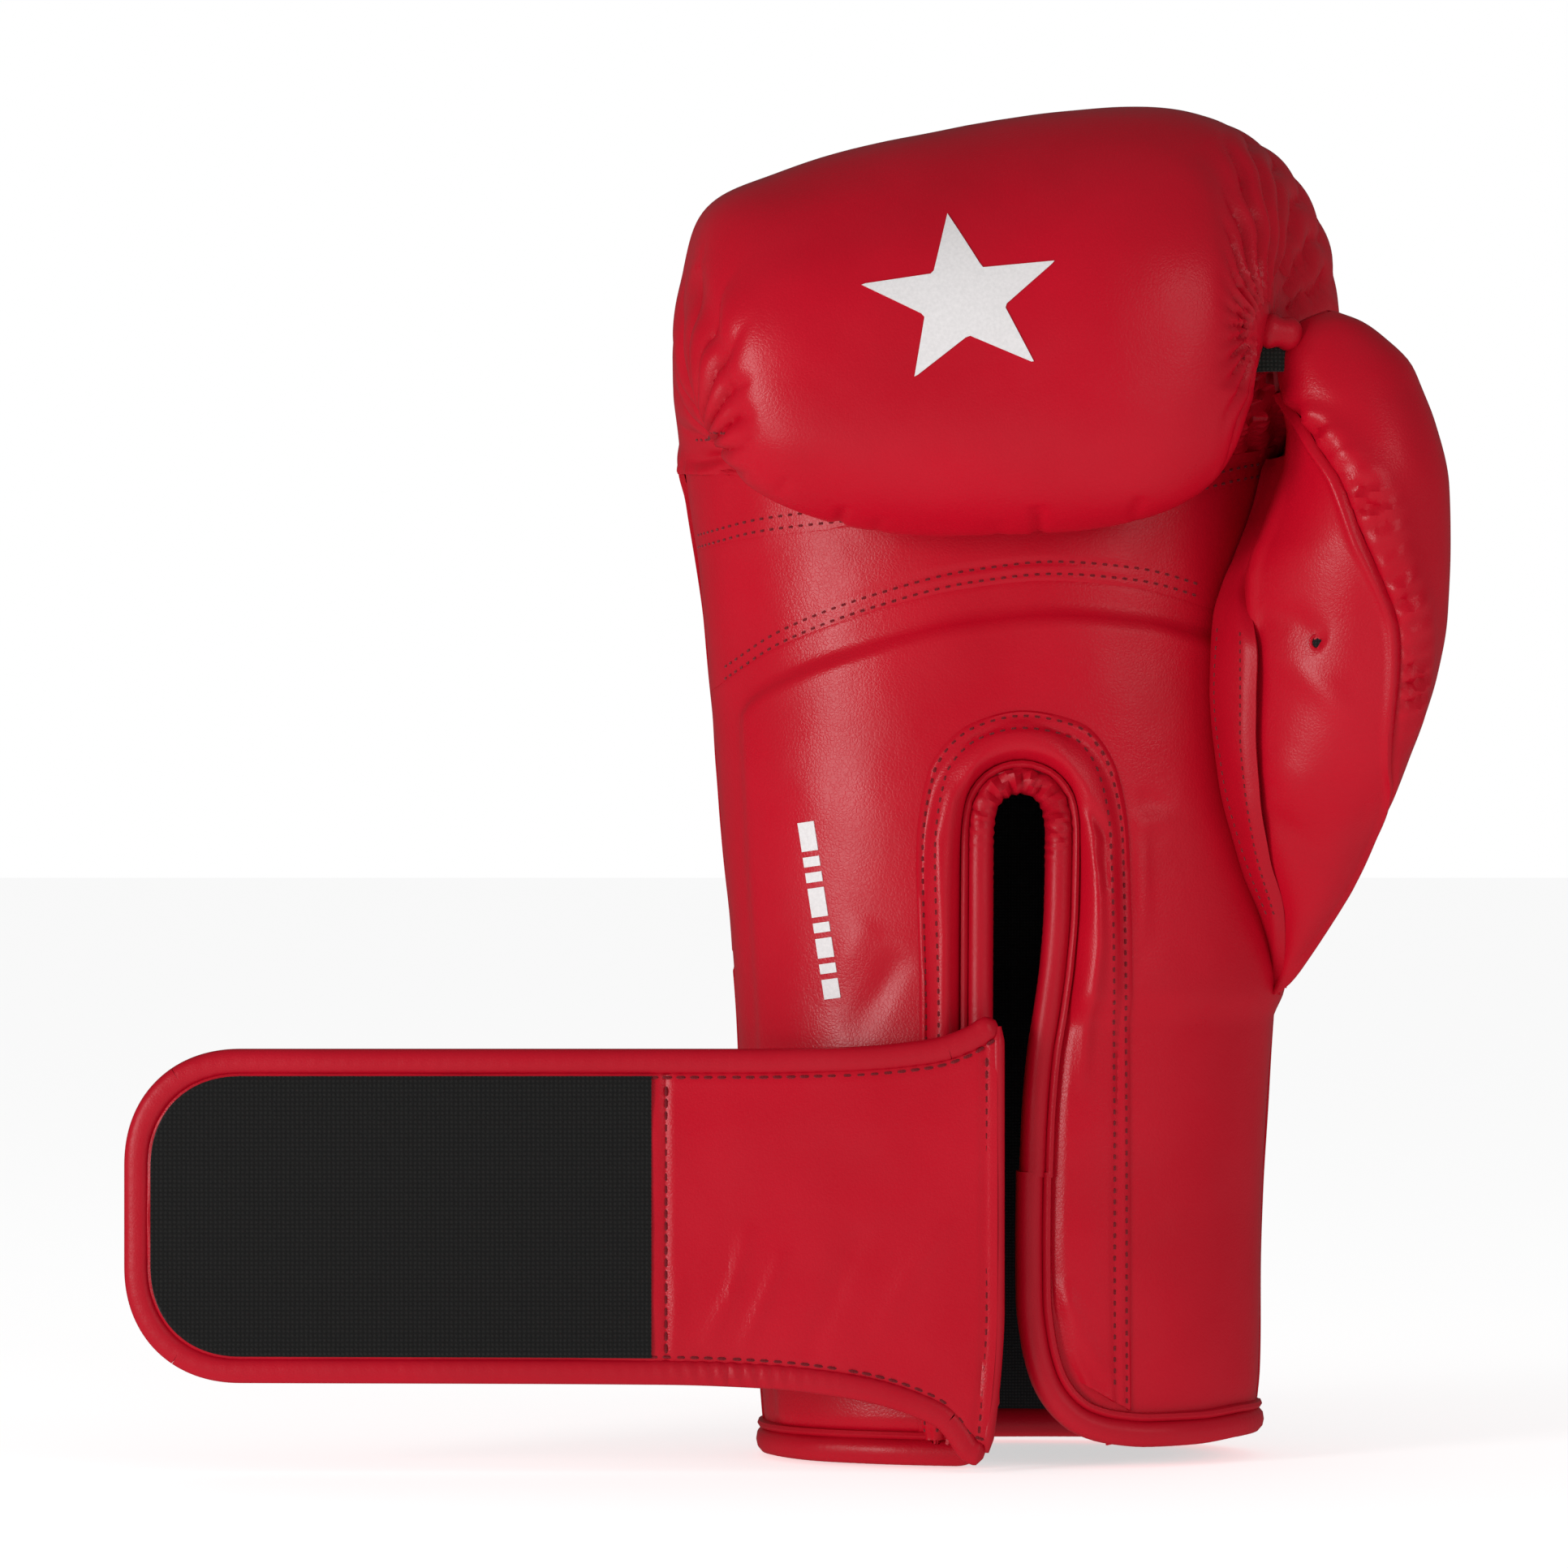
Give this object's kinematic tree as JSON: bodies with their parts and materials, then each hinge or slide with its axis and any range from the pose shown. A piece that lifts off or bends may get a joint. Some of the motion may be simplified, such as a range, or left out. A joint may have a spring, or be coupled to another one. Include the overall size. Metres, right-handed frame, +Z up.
{
  "type": "boxing glove",
  "caption": "Right-hand leather boxing glove with a curled padded fist, padded thumb, slit cuff and an open hook-and-loop wrist strap.",
  "frame": {"origin": "centre of the cuff's mouth, in the plane of its rim", "axes": "+Z up the hand from the wrist to the knuckles, -Y is the way the palm faces, +X is the thumb's side"},
  "size_m": [0.2934, 0.1332, 0.3022],
  "materials": {
    "red_leather": "semi-gloss, fine grain",
    "red_binding": "semi-gloss rolled edge",
    "foam": "matt foam",
    "black_lining": "matt woven cloth",
    "black_webbing": "matt woven webbing",
    "red_loop_pile": "short looped pile",
    "black_hooks": "matt field of small hooks",
    "white_print": "thin printed film"
  },
  "bodies": {
    "glove": {"fist_cover": "red_leather", "upper_palm_panel": "red_leather", "middle_palm_panel": "red_leather", "lower_palm_panel": "red_leather", "cuff_back_panel": "red_leather", "slit_facing": "red_leather", "slit_piping": "red_binding", "cuff_binding": "red_binding", "knuckle_foam": "foam", "back_foam": "foam", "grip_foam": "foam", "palm_foam": "foam", "cuff_foam_back": "foam", "cuff_foam_left": "foam", "cuff_foam_right": "foam", "finger_lining": "black_lining", "hand_lining": "black_lining", "cuff_lining": "black_lining", "grip_bar": "foam", "thumb_cover": "red_leather", "thumb_inner_panel": "red_leather", "thumb_foam": "foam", "thumb_lining": "black_lining", "thumb_gusset": "red_binding", "thumb_web": "red_leather", "thumb_lock": "black_webbing", "strap_anchor": "red_leather", "loop_patch": "red_loop_pile", "front_print": "white_print", "size_print": "white_print"},
    "strap_1": {"strap_leather_1": "red_leather", "strap_binding_1": "red_binding"},
    "strap_2": {"strap_leather_2": "red_leather", "strap_binding_2": "red_binding"},
    "strap_3": {"strap_leather_3": "red_leather", "strap_binding_3": "red_binding"},
    "strap_4": {"strap_leather_4": "red_leather", "strap_binding_4": "red_binding", "hook_patch_4": "black_hooks"},
    "strap_5": {"strap_leather_5": "red_leather", "strap_binding_5": "red_binding", "hook_patch_5": "black_hooks"},
    "strap_6": {"strap_leather_6": "red_leather", "strap_binding_6": "red_binding", "hook_patch_6": "black_hooks"},
    "strap_7": {"strap_leather_7": "red_leather", "strap_binding_7": "red_binding", "hook_patch_7": "black_hooks"},
    "strap_8": {"strap_leather_8": "red_leather", "strap_binding_8": "red_binding", "hook_patch_8": "black_hooks"}
  },
  "joints": [
    {"name": "strap_fold", "type": "hinge", "parent": "glove", "child": "strap_1", "pos_m": [-0.002, -0.048, 0.0565], "axis": [0, 0, 1], "range_deg": [0, 184.5]},
    {"name": "strap_bend_2", "type": "hinge", "parent": "strap_1", "child": "strap_2", "pos_m": [-0.02625, -0.0521, 0.0565], "axis": [0, 0, 1], "range_deg": [0, 21]},
    {"name": "strap_bend_3", "type": "hinge", "parent": "strap_2", "child": "strap_3", "pos_m": [-0.0505, -0.0521, 0.0565], "axis": [0, 0, 1], "range_deg": [0, 25.5]},
    {"name": "strap_bend_4", "type": "hinge", "parent": "strap_3", "child": "strap_4", "pos_m": [-0.07475, -0.0521, 0.0565], "axis": [0, 0, 1], "range_deg": [0, 34.5]},
    {"name": "strap_bend_5", "type": "hinge", "parent": "strap_4", "child": "strap_5", "pos_m": [-0.099, -0.0521, 0.0565], "axis": [0, 0, 1], "range_deg": [0, 27]},
    {"name": "strap_bend_6", "type": "hinge", "parent": "strap_5", "child": "strap_6", "pos_m": [-0.12325, -0.0521, 0.0565], "axis": [0, 0, 1], "range_deg": [0, 42.75]},
    {"name": "strap_bend_7", "type": "hinge", "parent": "strap_6", "child": "strap_7", "pos_m": [-0.1475, -0.0521, 0.0565], "axis": [0, 0, 1], "range_deg": [0, 10.5]},
    {"name": "strap_bend_8", "type": "hinge", "parent": "strap_7", "child": "strap_8", "pos_m": [-0.17175, -0.0521, 0.0565], "axis": [0, 0, 1], "range_deg": [0, 18.75]}
  ]
}
